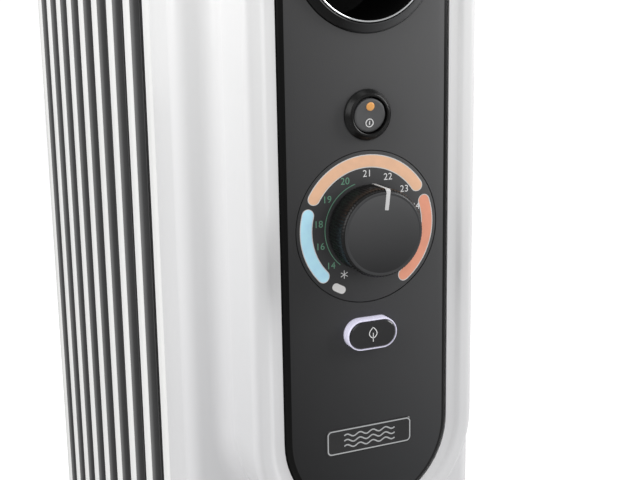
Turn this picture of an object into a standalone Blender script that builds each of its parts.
"""Oil filled radiator heater with nine fins, a control casing at one end and four castors.

Lengths are in millimetres until add_object turns them into metres. X runs across the heater, Z
is up, and depth runs along Y from the front face of the control panel towards the fins. The
controls face -Y, and the origin is under the middle of the whole heater, on the floor.
"""

import math

import bmesh
import bpy
from mathutils import Matrix, Vector

# Body: the fins and the casing share one outline, seen from the front.
BODY_HALF_WIDTH = 77
BODY_BOTTOM = 90
BODY_TOP = 645
TOP_RADIUS = 74
BOTTOM_RADIUS = 45

# Fins.
FIN_COUNT = 9
FIN_PITCH = 41.2
FLANGE_DEPTH = 12.8
FLANGE_THICK = 1.6
FIRST_FLANGE = 73.5
WEB_THICK = 2
CHANNEL_X = 38
CHANNEL_WIDTH = 30
CHANNEL_THICK = 11
HEADER_RADIUS = 23
HEADER_BORE = 13
LOW_HEADER_Z = BODY_BOTTOM + 52
TOP_HEADER_Z = BODY_TOP - 62
LAST_HEADER_REACH = 11

# Control casing and panel.
CASING_BACK = 72.9
CASING_WALL = 2.5
CASING_FACE = 36
SHOULDER = 7
PANEL_HALF_WIDTH = 41.5
PANEL_THICK = 4
PANEL_EDGE = 3
NOSE_REACH = 14.5
NOSE_FACE = 1.2
NOSE_EDGE = 4
NOSE_FILLET = 9
NOSE_LEAN = 0.7
NOSE_WALL = 3
NOSE_LIP = 3.2
BAND = 5.2
BAND_SINK = 0.5
CASING_STEPS = 7
NOSE_STEPS = 15
GLAND_DEPTH = 52
GLAND_RADIUS = 7
GAP = 0.3
HANDLE_ABOVE_DIAL = 120.2
PANEL_FOOT_BELOW_DIAL = 97
HANDLE_Z = BODY_TOP - BODY_HALF_WIDTH
DIAL_Z = HANDLE_Z - HANDLE_ABOVE_DIAL
PANEL_FOOT_Z = DIAL_Z - PANEL_FOOT_BELOW_DIAL
SHIELD_DEPTH = 66

# Controls.
CUP_RADIUS = 34.2
CUP_THROAT = 29
CUP_DEPTH = 44
CUP_LIFT = 3.2
DISC_RADIUS = 34.6
DISC_THICK = 0.8
KNOB_RADIUS = 20
KNOB_LIFT = 0.5
KNOB_HEIGHT = 16
POINTER_TURN = math.radians(7)
POINTER_LENGTH = 9.5
POINTER_HALF_WIDTH = 1
POINTER_SLOT_HALF = 1.3
SHAFT_RADIUS = 3
ROCKER_Z = DIAL_Z + 50.6
ROCKER_TILT = math.radians(8)
ROCKER_RADIUS = 7.6
ROCKER_AXIS_DEPTH = -1
LAMP_ABOVE_ROCKER = 4.2
BEZEL_RADIUS = 11.4
BEZEL_MOUTH = 8.2
ECO_Z = DIAL_Z - 49
ECO_HALF = (12.4, 7.1)
ECO_PROUD = 4.6
ECO_WALL = 0.9
BADGE_Z = DIAL_Z - 100
BADGE_HALF = (22, 6.5)

# Feet and castors.
BEAM_HALF_LENGTH = 125
BEAM_HALF_DEPTH = 24
BEAM_BOTTOM = 64
BEAM_TOP = BODY_BOTTOM - GAP
BEAM_DECK = 5
BEAM_WALL = 3
CLAMP_X = 28
CLAMP_RADIUS = 3
CASTOR_X = 104
CASTOR_TRAIL = 14
WHEEL_RADIUS = 22
WHEEL_HALF_WIDTH = 9
AXLE_RADIUS = 3
FORK_TOP = BEAM_BOTTOM - 1
STEM_RADIUS = 4

KNOB_FACE = -KNOB_LIFT - KNOB_HEIGHT
FIN_CENTRES = [FIRST_FLANGE + FLANGE_DEPTH / 2 + FIN_PITCH * i for i in range(FIN_COUNT)]
HEADER_END = FIN_CENTRES[-1] + LAST_HEADER_REACH
CAP_THICK = 3
BACK_END = HEADER_END + GAP + CAP_THICK
DEPTH_CENTRE = (KNOB_FACE + BACK_END) / 2
FOOT_DEPTHS = {
    "front": FIN_CENTRES[0] + FIN_PITCH / 2,
    "rear": FIN_CENTRES[-1] - FIN_PITCH / 2,
}

# Colour, roughness and metallic of each finish.
FINISHES = {
    "white_enamel": ((0.86, 0.86, 0.84), 0.28, 0.0),
    "white_plastic": ((0.87, 0.87, 0.86), 0.22, 0.0),
    "black_panel": ((0.032, 0.033, 0.035), 0.38, 0.0),
    "black_gloss": ((0.012, 0.012, 0.013), 0.18, 0.0),
    "black_plastic": ((0.02, 0.02, 0.02), 0.45, 0.0),
    "chrome": ((0.78, 0.79, 0.8), 0.12, 1.0),
    "steel": ((0.55, 0.56, 0.57), 0.35, 1.0),
    "amber_lens": ((0.95, 0.42, 0.06), 0.25, 0.0),
    "lit_lens": ((0.86, 0.84, 0.95), 0.3, 0.0),
    "print_white": ((0.88, 0.88, 0.88), 0.4, 0.0),
    "board": ((0.03, 0.16, 0.07), 0.5, 0.0),
    "phenolic": ((0.16, 0.1, 0.06), 0.5, 0.0),
    "brass": ((0.72, 0.53, 0.24), 0.3, 1.0),
    "tyre": ((0.05, 0.05, 0.052), 0.7, 0.0),
}


def clear_scene():
    for obj in list(bpy.data.objects):
        bpy.data.objects.remove(obj, do_unlink=True)


def new_collection(name):
    collection = bpy.data.collections.new(name)
    bpy.context.scene.collection.children.link(collection)
    return collection


def material_of(finish):
    material = bpy.data.materials.get(finish)
    if material:
        return material
    colour, roughness, metallic = FINISHES[finish]
    material = bpy.data.materials.new(finish)
    material.use_nodes = True
    shader = material.node_tree.nodes["Principled BSDF"]
    shader.inputs["Base Color"].default_value = (*colour, 1)
    shader.inputs["Roughness"].default_value = roughness
    shader.inputs["Metallic"].default_value = metallic
    return material


def world(x, depth, z):
    """A point of the heater, in metres."""
    return Vector((x, depth - DEPTH_CENTRE, z)) * 0.001


def add_object(name, mesh, finish=None, origin=None):
    """Adds a mesh drawn in millimetres. One with no finish is a helper that shapes another."""
    start = world(*origin) if origin else Vector()
    scaled = Matrix.Scale(0.001, 4) @ Matrix.Translation((0, -DEPTH_CENTRE, 0))
    mesh.transform(Matrix.Translation(-start) @ scaled)
    obj = bpy.data.objects.new(name, mesh)
    obj.location = start
    if finish:
        obj.data.materials.append(material_of(finish))
        PARTS.objects.link(obj)
    else:
        obj.hide_render = True
        obj.display_type = "WIRE"
        CUTTERS.objects.link(obj)
    return obj


def mesh_from(bm, name):
    bmesh.ops.recalc_face_normals(bm, faces=bm.faces)
    mesh = bpy.data.meshes.new(name)
    bm.to_mesh(mesh)
    bm.free()
    return mesh


def welded_mesh(obj, name, turn=Matrix()):
    """The shape that an object's curve or modifiers make, as a closed mesh. The object goes."""
    graph = bpy.context.evaluated_depsgraph_get()
    made = bpy.data.meshes.new_from_object(obj.evaluated_get(graph), depsgraph=graph)
    bm = bmesh.new()
    bm.from_mesh(made)
    bmesh.ops.remove_doubles(bm, verts=bm.verts, dist=0.0005)
    bmesh.ops.transform(bm, matrix=turn @ obj.matrix_world, verts=bm.verts)
    bpy.data.objects.remove(obj)
    return mesh_from(bm, name)


def box(name, low, high, finish=None, origin=None, rounding=0, segments=2):
    """A box between two corners, each given as x, depth, z."""
    bm = bmesh.new()
    bmesh.ops.create_cube(bm, size=1)
    size = [high[i] - low[i] for i in range(3)]
    middle = [(high[i] + low[i]) / 2 for i in range(3)]
    bmesh.ops.scale(bm, vec=size, verts=bm.verts)
    bmesh.ops.translate(bm, vec=middle, verts=bm.verts)
    if rounding:
        bmesh.ops.bevel(
            bm, geom=bm.edges[:], offset=rounding, segments=segments, profile=0.5, affect="EDGES"
        )
    return add_object(name, mesh_from(bm, name), finish, origin)


def cylinder(name, start, end, radius, finish=None, origin=None, sides=24):
    """A cylinder between two points on its axis."""
    bm = bmesh.new()
    span = Vector(end) - Vector(start)
    middle = (Vector(end) + Vector(start)) / 2
    turn = Vector((0, 0, 1)).rotation_difference(span).to_matrix().to_4x4()
    bmesh.ops.create_cone(
        bm,
        cap_ends=True,
        segments=sides,
        radius1=radius,
        radius2=radius,
        depth=span.length,
        matrix=Matrix.Translation(middle) @ turn,
    )
    return add_object(name, mesh_from(bm, name), finish, origin)


def turned(name, profile, centre, finish=None, origin=None, sides=32, axis="Y"):
    """A profile of (radius, place along the axis) turned about Y or X through a centre."""
    mesh = bpy.data.meshes.new(name)
    points = [(radius, along, 0) for radius, along in profile]
    closed = profile[0][0] > 0 or profile[-1][0] > 0
    count = len(points)
    edges = [(i, (i + 1) % count) for i in range(count if closed else count - 1)]
    mesh.from_pydata(points, edges, [])
    obj = bpy.data.objects.new(name, mesh)
    bpy.context.scene.collection.objects.link(obj)
    screw = obj.modifiers.new("Turn", "SCREW")
    screw.axis = "Y"
    screw.steps = screw.render_steps = sides
    screw.use_merge_vertices = True
    screw.merge_threshold = 0.0001
    turn = Matrix.Rotation(-math.pi / 2, 4, "Z") if axis == "X" else Matrix()
    made = welded_mesh(obj, name, Matrix.Translation(centre) @ turn)
    return add_object(name, made, finish, origin)


def plate(name, outlines, front, back, finish=None, origin=None):
    """A flat piece between two depths. The first outline is its edge, the rest are holes."""
    curve = bpy.data.curves.new(name, "CURVE")
    curve.dimensions = "2D"
    curve.fill_mode = "BOTH"
    curve.extrude = (back - front) / 2
    for outline in outlines:
        spline = curve.splines.new("POLY")
        spline.points.add(len(outline) - 1)
        spline.use_cyclic_u = True
        for point, (x, z) in zip(spline.points, outline):
            point.co = (x, z, 0, 1)
    obj = bpy.data.objects.new(name, curve)
    bpy.context.scene.collection.objects.link(obj)
    upright = Matrix.Translation((0, (front + back) / 2, 0)) @ Matrix.Rotation(math.pi / 2, 4, "X")
    return add_object(name, welded_mesh(obj, name, upright), finish, origin)


def rod(name, points, radius, finish=None, origin=None):
    """A round rod along a path of points."""
    curve = bpy.data.curves.new(name, "CURVE")
    curve.dimensions = "3D"
    curve.bevel_depth = radius
    curve.bevel_resolution = 2
    curve.use_fill_caps = True
    spline = curve.splines.new("POLY")
    spline.points.add(len(points) - 1)
    for point, place in zip(spline.points, points):
        point.co = (*place, 1)
    obj = bpy.data.objects.new(name, curve)
    bpy.context.scene.collection.objects.link(obj)
    return add_object(name, welded_mesh(obj, name), finish, origin)


def loft(name, rings, finish=None, origin=None, closed=False):
    """A skin through rings of points. It ends in two caps, or closes on its first ring."""
    bm = bmesh.new()
    rows = [[bm.verts.new(point) for point in ring] for ring in rings]
    count = len(rows[0])
    for near, far in zip(rows, rows[1:] + rows[:1] if closed else rows[1:]):
        for i in range(count):
            j = (i + 1) % count
            bm.faces.new((near[i], near[j], far[j], far[i]))
    if not closed:
        bm.faces.new(rows[0])
        bm.faces.new(rows[-1])
    return add_object(name, mesh_from(bm, name), finish, origin)


def shape(target, other, operation):
    modifier = target.modifiers.new(other.name, "BOOLEAN")
    modifier.object = other
    modifier.operation = operation
    modifier.solver = "EXACT"


def cut(target, *others):
    for other in others:
        shape(target, other, "DIFFERENCE")


def join(target, *others):
    for other in others:
        shape(target, other, "UNION")


def arc(centre, radius, start, end, steps):
    """Points of an arc in the X-Z plane, between two angles in degrees from +X."""
    angles = [math.radians(start + (end - start) * i / steps) for i in range(steps + 1)]
    return [(centre[0] + radius * math.cos(a), centre[1] + radius * math.sin(a)) for a in angles]


def circle(x, z, radius, sides=24):
    return arc((x, z), radius, 0, 360, sides)[:-1]


def body_outline(inset, steps=4):
    """The outline that the fins and the casing share, drawn in by some distance."""
    half = BODY_HALF_WIDTH - inset
    high, low = BODY_TOP - inset, BODY_BOTTOM + inset
    top, bottom = TOP_RADIUS - inset, BOTTOM_RADIUS - inset
    points = arc((half - top, high - top), top, 0, 90, steps)
    points += arc((top - half, high - top), top, 90, 180, steps)
    points += arc((bottom - half, low + bottom), bottom, 180, 270, steps)
    points += arc((half - bottom, low + bottom), bottom, 270, 360, steps)
    return points


def panel_outline(grow, steps=14):
    """The control panel's upright stadium, grown by some distance."""
    radius = PANEL_HALF_WIDTH + grow
    top = arc((0, HANDLE_Z), radius, 0, 180, steps)
    return top + arc((0, PANEL_FOOT_Z), radius, 180, 360, steps)


def lying_stadium(z, half_width, half_height, steps=8):
    reach = half_width - half_height
    right = arc((reach, z), half_height, -90, 90, steps)
    return right + arc((-reach, z), half_height, 90, 270, steps)


def rounded_rectangle(z, half_width, half_height, radius, steps=4):
    corners = ((1, 1, 0), (-1, 1, 90), (-1, -1, 180), (1, -1, 270))
    points = []
    for side, end, turn in corners:
        centre = (side * (half_width - radius), z + end * (half_height - radius))
        points += arc(centre, radius, turn, turn + 90, steps)
    return points


def ring_at(outline, depth):
    return [(x, depth, z) for x, z in outline]


# Fins


def channel(name, x, depth):
    """One upright oil channel pressed into a fin: a flattened tube between the headers."""
    low, high = LOW_HEADER_Z - 22, TOP_HEADER_Z + 16
    taper, sides = 20, 6
    turns = [2 * math.pi * i / sides for i in range(sides)]
    rings = []
    for z, share in ((low, 0.25), (low + taper, 1), (high - taper, 1), (high, 0.25)):
        across, thick = CHANNEL_WIDTH / 2, CHANNEL_THICK / 2 * share
        rings.append([(x + across * math.cos(a), depth + thick * math.sin(a), z) for a in turns])
    return loft(name, rings)


def fin(index):
    """A pressed steel fin: flange round the edge, web, two oil channels and two headers."""
    centre = FIN_CENTRES[index]
    front, back = centre - FLANGE_DEPTH / 2, centre + FLANGE_DEPTH / 2
    name = f"fin_{index + 1}"
    outer, inner = body_outline(0), body_outline(FLANGE_THICK)
    obj = plate(name, [outer, inner], front, back, "white_enamel")
    web = centre - WEB_THICK / 2
    join(obj, plate(f"{name}_web", [body_outline(FLANGE_THICK / 2)], web, web + WEB_THICK))
    reach = FIN_PITCH / 2 - GAP / 2
    last = index == FIN_COUNT - 1
    ends = centre - reach, centre + (LAST_HEADER_REACH if last else reach)
    for z in (LOW_HEADER_Z, TOP_HEADER_Z):
        start, end = (0, ends[0], z), (0, ends[1], z)
        join(obj, cylinder(f"{name}_header_{z}", start, end, HEADER_RADIUS, sides=14))
    for side in (-1, 1):
        join(obj, channel(f"{name}_channel_{side}", side * CHANNEL_X, centre))
    for z in (LOW_HEADER_Z, TOP_HEADER_Z):
        start, end = (0, ends[0] - 5, z), (0, ends[1] + 5, z)
        cut(obj, cylinder(f"{name}_bore_{z}", start, end, HEADER_BORE, sides=10))
    return obj


def repeat_first_fin():
    """The fins between the first and the last, each like the first."""
    first = PARTS.objects["fin_1"]
    for index in range(1, FIN_COUNT - 1):
        copy = bpy.data.objects.new(f"fin_{index + 1}", first.data)
        copy.location = (0, FIN_PITCH * index * 0.001, 0)
        PARTS.objects.link(copy)


def header_caps():
    """Welded caps that close both headers at the far end."""
    start = HEADER_END + GAP
    rounding = 1.2
    profile = [
        (0, start),
        (HEADER_RADIUS - 0.5, start),
        (HEADER_RADIUS - 0.5, start + CAP_THICK - rounding),
        (HEADER_RADIUS - 0.5 - rounding, start + CAP_THICK),
        (0, start + CAP_THICK),
    ]
    for name, z in (("header_cap_top", TOP_HEADER_Z), ("header_cap_bottom", LOW_HEADER_Z)):
        turned(name, profile, (0, 0, z), "white_enamel", sides=28)


def heater():
    """The immersion heater in the low header, its screwed flange and the oil filler plug."""
    header_front = FIN_CENTRES[0] - FIN_PITCH / 2 + GAP / 2
    face = header_front - GAP
    bend = 6
    rod_start, rod_end = header_front + 14, FIN_CENTRES[-1] - 10
    turns = [math.pi * i / 8 for i in range(9)]
    hairpin = [
        (bend * math.cos(a), rod_end + bend * math.sin(a), LOW_HEADER_Z) for a in turns
    ]
    legs = [(bend, rod_start, LOW_HEADER_Z), *hairpin, (-bend, rod_start, LOW_HEADER_Z)]
    rod("heating_element", legs, 4, "steel")
    flange = cylinder(
        "element_flange", (0, face - 8, LOW_HEADER_Z), (0, face, LOW_HEADER_Z), 21, "brass", sides=6
    )
    barrel_start, barrel_end = (0, face - 4, LOW_HEADER_Z), (0, rod_start - GAP, LOW_HEADER_Z)
    join(flange, cylinder("flange_barrel", barrel_start, barrel_end, HEADER_BORE - 1, sides=10))
    for x in (-bend, bend):
        start, end = (x, face - 14, LOW_HEADER_Z), (x, face - 2, LOW_HEADER_Z)
        join(flange, cylinder(f"flange_terminal_{x}", start, end, 2, sides=10))
    plug_start, plug_end = (0, face - 5, TOP_HEADER_Z), (0, face, TOP_HEADER_Z)
    plug = cylinder("oil_filler_plug", plug_start, plug_end, 15, "steel", sides=6)
    barrel_start, barrel_end = (0, face - 2, TOP_HEADER_Z), (0, face + 9, TOP_HEADER_Z)
    join(plug, cylinder("plug_barrel", barrel_start, barrel_end, HEADER_BORE - 1, sides=10))


# Control casing


def quarter(reach, steps=3):
    """The (shift, rise) of a rounded edge at each step of its quarter turn."""
    turns = [math.pi / 2 * i / steps for i in range(steps + 1)]
    return [(reach * (1 - math.cos(a)), reach * math.sin(a)) for a in turns]


def casing_body(inset, face):
    """The casing behind its nose: the fins' outline with a rounded shoulder to a flat front."""
    rounding = SHOULDER - inset
    rings = [ring_at(body_outline(inset, CASING_STEPS), CASING_BACK)]
    for shift, rise in quarter(rounding):
        outline = body_outline(inset + shift, CASING_STEPS)
        rings.append(ring_at(outline, face + rounding - rise))
    return rings


def nose_ring(grow, depth):
    """A ring round the panel whose point count matches the casing's rings."""
    return ring_at(panel_outline(grow, NOSE_STEPS), depth)


def nose():
    """The nose that carries the panel: a fillet at its foot, a steep wall and a rounded edge."""
    foot = NOSE_REACH + NOSE_LEAN + NOSE_FILLET
    rings = [nose_ring(foot - rise, CASING_FACE - shift) for shift, rise in quarter(NOSE_FILLET)]
    for shift, rise in quarter(NOSE_EDGE):
        rings.append(nose_ring(NOSE_REACH - shift, NOSE_FACE + NOSE_EDGE - rise))
    return [*rings, nose_ring(BAND, NOSE_FACE), nose_ring(GAP, NOSE_FACE + BAND_SINK)]


def nose_inside():
    """The lip behind the flat band and the nose's hollow, from the front to the back."""
    hollow = NOSE_REACH - NOSE_WALL
    lip_back = NOSE_FACE + NOSE_LIP
    return [
        nose_ring(GAP, lip_back),
        nose_ring(hollow, lip_back),
        nose_ring(hollow, CASING_FACE + CASING_WALL),
    ]


def control_casing():
    """The white moulded end casing, open at the back, with a raised nose round the panel."""
    outside = casing_body(0, CASING_FACE) + nose()
    inside = nose_inside() + casing_body(CASING_WALL, CASING_FACE + CASING_WALL)[::-1]
    casing = loft("control_casing", outside + inside, "white_plastic", closed=True)
    start, end = (0, GLAND_DEPTH, BODY_BOTTOM - 5), (0, GLAND_DEPTH, BODY_BOTTOM + 5)
    cut(casing, cylinder("gland_hole", start, end, GLAND_RADIUS + GAP))


def heat_shield():
    """The steel sheet that closes the casing's back and lets the two headers through."""
    holes = [circle(0, z, HEADER_RADIUS + 1, 20) for z in (TOP_HEADER_Z, LOW_HEADER_Z)]
    outline = body_outline(CASING_WALL + 0.5)
    plate("heat_shield", [outline, *holes], SHIELD_DEPTH, SHIELD_DEPTH + 1, "steel")


def casing_fittings():
    """The safety parts on the heat shield inside the casing, and the gland under them."""
    back = SHIELD_DEPTH - GAP
    cylinder("thermal_cutout", (0, back - 6, 270), (0, back, 270), 9, "phenolic")
    box("tilt_switch", (-36, back - 18, 190), (-14, back, 214), "black_plastic", rounding=1)
    box("terminal_block", (8, back - 14, 190), (44, back, 206), "phenolic", rounding=1)
    cable_gland()


def cable_gland():
    """The gland in the casing's floor, turned about an upright axis through its middle."""
    bore, rim = 3.5, GLAND_RADIUS + 3
    profile = [
        (bore, BODY_BOTTOM - 4),
        (rim - 0.5, BODY_BOTTOM - 4),
        (rim, BODY_BOTTOM - 3),
        (rim, BODY_BOTTOM - GAP),
        (GLAND_RADIUS, BODY_BOTTOM - GAP),
        (GLAND_RADIUS, BODY_BOTTOM + 14),
        (bore, BODY_BOTTOM + 14),
    ]
    gland = turned("cable_gland", profile, (0, 0, 0), "black_plastic", sides=16)
    upright = Matrix.Rotation(math.pi / 2, 4, "X")
    gland.data.transform(Matrix.Translation((0, DEPTH_CENTRE * 0.001, 0)))
    gland.data.transform(Matrix.Translation(world(0, GLAND_DEPTH, 0)) @ upright)


# Control panel


def control_panel():
    """The black front panel with its openings and the shallow seats for disc and badge."""
    openings = [
        circle(0, HANDLE_Z, CUP_RADIUS + GAP, 40),
        circle(0, ROCKER_Z, BEZEL_MOUTH + 2.1, 24),
        circle(0, DIAL_Z, SHAFT_RADIUS + 1, 16),
        lying_stadium(ECO_Z, ECO_HALF[0] + GAP, ECO_HALF[1] + GAP),
    ]
    rings = [
        ring_at(panel_outline(0), PANEL_THICK),
        ring_at(panel_outline(0), 2.6),
        ring_at(panel_outline(-0.9), 0.8),
        ring_at(panel_outline(-PANEL_EDGE), 0),
    ]
    panel = loft("control_panel", rings, "black_panel")
    cut(panel, *[plate(f"panel_hole_{i}", [hole], -5, 9) for i, hole in enumerate(openings)])
    seat = circle(0, DIAL_Z, DISC_RADIUS + 0.4, 40)
    cut(panel, plate("disc_seat", [seat], -1, DISC_THICK + GAP))
    across, up = BADGE_HALF
    seat = rounded_rectangle(BADGE_Z, across + GAP, up + GAP, 3)
    cut(panel, plate("badge_seat", [seat], -1, 2 * GAP))
    plate("badge", [rounded_rectangle(BADGE_Z, across, up, 2.8)], -0.4, GAP, "black_gloss")


def handle_recess():
    """The finger cup in the panel's top, its raised conical surround and the bright ring."""
    seat = 1.9 - CUP_LIFT
    profile = [
        (0, CUP_DEPTH),
        (CUP_THROAT - 3, CUP_DEPTH),
        (CUP_THROAT - 1, CUP_DEPTH - 2),
        (CUP_THROAT, seat),
        (CUP_THROAT + 1, seat),
        (CUP_THROAT + 1, 0.3 - CUP_LIFT),
        (CUP_THROAT + 1.6, -CUP_LIFT),
        (CUP_RADIUS, -0.9),
        (CUP_RADIUS, PANEL_THICK + 1),
        (31.5, 8),
        (CUP_THROAT + 1, CUP_DEPTH + 1),
        (CUP_THROAT - 1, CUP_DEPTH + 2),
        (0, CUP_DEPTH + 2),
    ]
    turned("handle_cup", profile, (0, 0, HANDLE_Z), "black_gloss", sides=32)
    inner, outer = CUP_THROAT - 0.4, CUP_THROAT + 0.6
    back = seat - GAP
    ring = [
        (inner, 0.5 - CUP_LIFT),
        (CUP_THROAT, -CUP_LIFT),
        (outer, 0.2 - CUP_LIFT),
        (outer, back),
        (inner, back),
    ]
    turned("handle_trim_ring", ring, (0, 0, HANDLE_Z), "chrome", sides=32)


def power_switch():
    """A round rocker switch: bezel, body, tilting cap and the amber lamp in the cap."""
    bezel = [
        (BEZEL_MOUTH, -3.2),
        (BEZEL_MOUTH + 0.5, -3.6),
        (BEZEL_MOUTH + 1.3, -3.4),
        (BEZEL_RADIUS, -1),
        (BEZEL_RADIUS, -GAP),
        (BEZEL_MOUTH + 1.8, -GAP),
        (BEZEL_MOUTH + 1.8, 7),
        (BEZEL_MOUTH, 7),
    ]
    turned("rocker_bezel", bezel, (0, 0, ROCKER_Z), "black_gloss", sides=32)
    start, end = (0, 2.4, ROCKER_Z), (0, 22, ROCKER_Z)
    cylinder("rocker_switch_body", start, end, BEZEL_MOUTH - GAP, "black_plastic")
    axis = (0, ROCKER_AXIS_DEPTH, ROCKER_Z)
    tilt = Matrix.Rotation(ROCKER_TILT, 4, "X")
    cap_profile = [
        (0, ROCKER_AXIS_DEPTH - 1.5),
        (ROCKER_RADIUS - 0.7, ROCKER_AXIS_DEPTH - 1.9),
        (ROCKER_RADIUS, ROCKER_AXIS_DEPTH - 1.3),
        (ROCKER_RADIUS, ROCKER_AXIS_DEPTH + 1.4),
        (0, ROCKER_AXIS_DEPTH + 1.4),
    ]
    cap = turned("power_rocker", cap_profile, (0, 0, ROCKER_Z), "black_gloss", axis)
    lamp_z = ROCKER_Z + LAMP_ABOVE_ROCKER
    front = ROCKER_AXIS_DEPTH - 1.95
    start, end = (0, front, lamp_z), (0, front + 1.2, lamp_z)
    lamp = cylinder("rocker_lamp", start, end, 1.9, "amber_lens", axis, sides=16)
    seat = cylinder(
        "lamp_seat", (0, front - 2, lamp_z), (0, front + 1.5, lamp_z), 2.15, None, axis, sides=16
    )
    cut(cap, seat)
    for obj in (cap, lamp, seat):
        obj.data.transform(tilt)


def knob_profile():
    """The knob's half section: a straight skirt and a rounded front edge."""
    rounding = 2.2
    middle = KNOB_RADIUS - rounding, KNOB_FACE + rounding
    turns = [math.pi / 2 * i / 4 for i in range(5)]
    edge = [
        (middle[0] + rounding * math.cos(a), middle[1] - rounding * math.sin(a)) for a in turns
    ]
    return [(0, -KNOB_LIFT), (KNOB_RADIUS, -KNOB_LIFT), *edge, (0, KNOB_FACE)]


def pointer_block(name, half, low, high, finish=None):
    """A block of the pointer or of its slot, between two (depth, distance from the axis)."""
    start, end = (-half, low[0], DIAL_Z + low[1]), (half, high[0], DIAL_Z + high[1])
    return box(name, start, end, finish, (0, KNOB_FACE, DIAL_Z))


def knob():
    """The thermostat knob, with a pointer let into its face and down its side."""
    centre, axis = (0, 0, DIAL_Z), (0, KNOB_FACE, DIAL_Z)
    back, rim, slot = -KNOB_LIFT, KNOB_RADIUS, POINTER_SLOT_HALF
    start = rim - POINTER_LENGTH
    turning = turned("thermostat_knob", knob_profile(), centre, "black_gloss", axis, sides=40)
    ends = (0, -10.3, DIAL_Z), (0, 2, DIAL_Z)
    cut(turning, cylinder("knob_bore", *ends, SHAFT_RADIUS + 0.2, None, axis))
    front = KNOB_FACE - 1
    slots = [
        pointer_block("pointer_side_slot", slot, (front, rim - 2.9), (back + 1, rim + 1)),
        pointer_block("pointer_face_slot", slot, (front, start - GAP), (KNOB_FACE + 2.9, rim + 1)),
    ]
    cut(turning, *slots)
    half, foot = POINTER_HALF_WIDTH, KNOB_FACE + 2.6
    bar = pointer_block("knob_pointer", half, (KNOB_FACE, start), (foot, rim), "print_white")
    blade = pointer_block("pointer_blade", half, (KNOB_FACE + 1, rim - 2.6), (back, rim))
    join(bar, blade)
    trim = turned("pointer_trim", knob_profile(), centre, None, axis, sides=40)
    shape(bar, trim, "INTERSECT")
    for obj in (*slots, bar, blade):
        obj.data.transform(Matrix.Rotation(POINTER_TURN, 4, "Y"))


def thermostat():
    """The dial disc, the knob, the shaft and the thermostat behind the panel."""
    disc_edge, hole = circle(0, DIAL_Z, DISC_RADIUS, 40), circle(0, DIAL_Z, SHAFT_RADIUS + 1, 16)
    plate("dial_disc", [disc_edge, hole], 0, DISC_THICK, "black_panel")
    knob()
    start, end = (0, -10, DIAL_Z), (0, 14, DIAL_Z)
    axis = (0, KNOB_FACE, DIAL_Z)
    cylinder("thermostat_shaft", start, end, SHAFT_RADIUS, "steel", axis, sides=16)
    low, high = (-16, 9, DIAL_Z - 16), (16, 27, DIAL_Z + 16)
    body = box("thermostat_body", low, high, "phenolic", rounding=1.5)
    start, end = (0, PANEL_THICK + GAP, DIAL_Z), (0, 12, DIAL_Z)
    join(body, cylinder("thermostat_bush", start, end, 7))
    cut(body, cylinder("bush_bore", (0, 0, DIAL_Z), (0, 16, DIAL_Z), SHAFT_RADIUS + 0.2, sides=16))


def eco_control():
    """The lit eco button: light ring, sliding button, tact switch and control board."""
    across, up = ECO_HALF
    inner = lying_stadium(ECO_Z, across - ECO_WALL, up - ECO_WALL)
    outer = lying_stadium(ECO_Z, across, up)
    plate("eco_light_ring", [outer, inner], -ECO_PROUD, PANEL_THICK + 1, "lit_lens")
    rest = (0, -ECO_PROUD, ECO_Z)
    inset = ECO_WALL + 0.25
    face = lying_stadium(ECO_Z, across - inset, up - inset)
    button = plate("eco_button", [face], -ECO_PROUD - 0.4, 2, "black_gloss", rest)
    start, end = (0, 0, ECO_Z), (0, 6.6, ECO_Z)
    join(button, cylinder("button_stem", start, end, 2.2, None, rest, sides=16))
    board = 12
    low, high = (-5, board - 3.8, ECO_Z - 5), (5, board - GAP, ECO_Z + 5)
    box("eco_switch", low, high, "black_plastic")
    low, high = (-28, board, ECO_Z - 34), (28, board + 1.6, ECO_Z + 22)
    box("control_board", low, high, "board")


# Feet and castors


def foot(end, depth):
    """A pressed cross beam under the fins, its clamp round the low header and two wing nuts."""
    low = (-BEAM_HALF_LENGTH, depth - BEAM_HALF_DEPTH, BEAM_BOTTOM)
    high = (BEAM_HALF_LENGTH, depth + BEAM_HALF_DEPTH, BEAM_TOP)
    beam = box(f"foot_beam_{end}", low, high, "white_enamel", rounding=5)
    pocket_x = CASTOR_X - 16
    low = (-pocket_x, depth - BEAM_HALF_DEPTH + BEAM_WALL, BEAM_BOTTOM - 5)
    high = (pocket_x, depth + BEAM_HALF_DEPTH - BEAM_WALL, BEAM_TOP - BEAM_DECK)
    cut(beam, box(f"beam_pocket_{end}", low, high))
    for side in (-1, 1):
        x = side * CLAMP_X
        start, end_point = (x, depth, BEAM_BOTTOM), (x, depth, BEAM_TOP + 5)
        cut(beam, cylinder(f"clamp_hole_{end}_{side}", start, end_point, CLAMP_RADIUS + 0.6))
        x = side * CASTOR_X
        start, end_point = (x, depth, BEAM_BOTTOM - 5), (x, depth, BEAM_BOTTOM + 18)
        cut(beam, cylinder(f"stem_hole_{end}_{side}", start, end_point, STEM_RADIUS + GAP))
    angles = [math.pi * i / 12 for i in range(13)]
    hoop = [
        (CLAMP_X * math.cos(a), depth, LOW_HEADER_Z + CLAMP_X * math.sin(a)) for a in angles
    ]
    foot_z = BEAM_BOTTOM + 4
    path = [(CLAMP_X, depth, foot_z), *hoop, (-CLAMP_X, depth, foot_z)]
    rod(f"foot_clamp_{end}", path, CLAMP_RADIUS, "steel")
    for side, word in ((-1, "left"), (1, "right")):
        wing_nut(f"wing_nut_{end}_{word}", side * CLAMP_X, depth)
        castor(f"{end}_{word}", side * CASTOR_X, depth)


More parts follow.
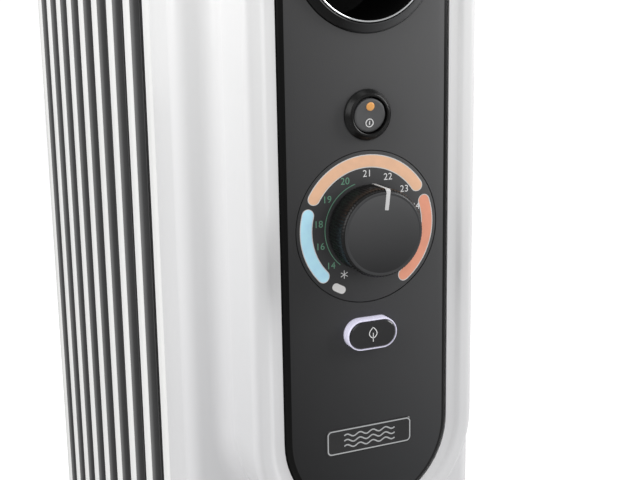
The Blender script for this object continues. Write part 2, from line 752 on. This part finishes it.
def wing_nut(name, x, depth):
    top = BEAM_TOP - BEAM_DECK - GAP
    nut = cylinder(name, (x, depth, top - 9), (x, depth, top), 6, "steel", sides=16)
    for side in (-1, 1):
        low = (x + min(side * 3, side * 13), depth - 1.1, top - 13)
        high = (x + max(side * 3, side * 13), depth + 1.1, top - 3)
        join(nut, box(f"{name}_wing_{side}", low, high))
    start, end = (x, depth, top - 20), (x, depth, top + 5)
    cut(nut, cylinder(f"{name}_bore", start, end, CLAMP_RADIUS + GAP))


def fork_leg(name, x, depth, faces, swivel):
    """A flat leg that narrows from the fork's crown to a round end past the axle."""
    axle_y, axle_z = depth + CASTOR_TRAIL, WHEEL_RADIUS
    outline = [
        (depth - 9, FORK_TOP - 2),
        (depth + 12, FORK_TOP - 2),
        (axle_y + 6, axle_z + 3),
        (axle_y + 4.5, axle_z - 4.5),
        (axle_y, axle_z - 6.5),
        (axle_y - 4.5, axle_z - 4.5),
        (axle_y - 7, axle_z + 4),
    ]
    rings = [[(x + face, place, z) for place, z in outline] for face in sorted(faces)]
    return loft(name, rings, None, swivel)


def castor(name, x, depth):
    """A swivelling castor: fork with its stem, axle and wheel."""
    swivel = (x, depth, FORK_TOP)
    hub = (x, depth + CASTOR_TRAIL, WHEEL_RADIUS)
    inner = WHEEL_HALF_WIDTH + 1
    bottom, top = (x, depth, FORK_TOP - 6), (x, depth, FORK_TOP)
    fork = cylinder(f"castor_fork_{name}", bottom, top, 16, "white_plastic", swivel, sides=24)
    bottom, top = (x, depth, FORK_TOP - 3), (x, depth, BEAM_BOTTOM + 15)
    join(fork, cylinder(f"stem_{name}", bottom, top, STEM_RADIUS, None, swivel, sides=16))
    for side in (-1, 1):
        faces = side * inner, side * (inner + 3)
        join(fork, fork_leg(f"fork_leg_{name}_{side}", x, depth, faces, swivel))
    bore = AXLE_RADIUS + GAP
    ends = (x - 20, *hub[1:]), (x + 20, *hub[1:])
    cut(fork, cylinder(f"axle_hole_{name}", *ends, bore, None, swivel, sides=16))
    reach = inner + 3.4
    ends = (x - reach, *hub[1:]), (x + reach, *hub[1:])
    cylinder(f"castor_axle_{name}", *ends, AXLE_RADIUS, "steel", swivel, sides=16)
    half, rounding = WHEEL_HALF_WIDTH, 3
    profile = [
        (bore, -half),
        (WHEEL_RADIUS - rounding, -half),
        (WHEEL_RADIUS, rounding - half),
        (WHEEL_RADIUS, half - rounding),
        (WHEEL_RADIUS - rounding, half),
        (bore, half),
    ]
    turned(f"castor_wheel_{name}", profile, hub, "tyre", hub, sides=24, axis="X")


def settle():
    """Turns each part's modifiers into its mesh and shades it smooth except at real edges."""
    bpy.context.view_layer.update()
    graph = bpy.context.evaluated_depsgraph_get()
    made = {
        obj: bpy.data.meshes.new_from_object(obj.evaluated_get(graph), depsgraph=graph)
        for obj in PARTS.objects
    }
    for obj, mesh in made.items():
        obj.modifiers.clear()
        obj.data = mesh
        mesh.name = obj.name
        mesh.shade_smooth()
        mesh.set_sharp_from_angle(angle=math.radians(35))


clear_scene()
PARTS = new_collection("oil_filled_radiator_heater")
CUTTERS = new_collection("cutters")
fin(0)
fin(FIN_COUNT - 1)
header_caps()
heater()
control_casing()
heat_shield()
casing_fittings()
control_panel()
handle_recess()
power_switch()
thermostat()
eco_control()
for place_name, foot_depth in FOOT_DEPTHS.items():
    foot(place_name, foot_depth)
settle()
repeat_first_fin()
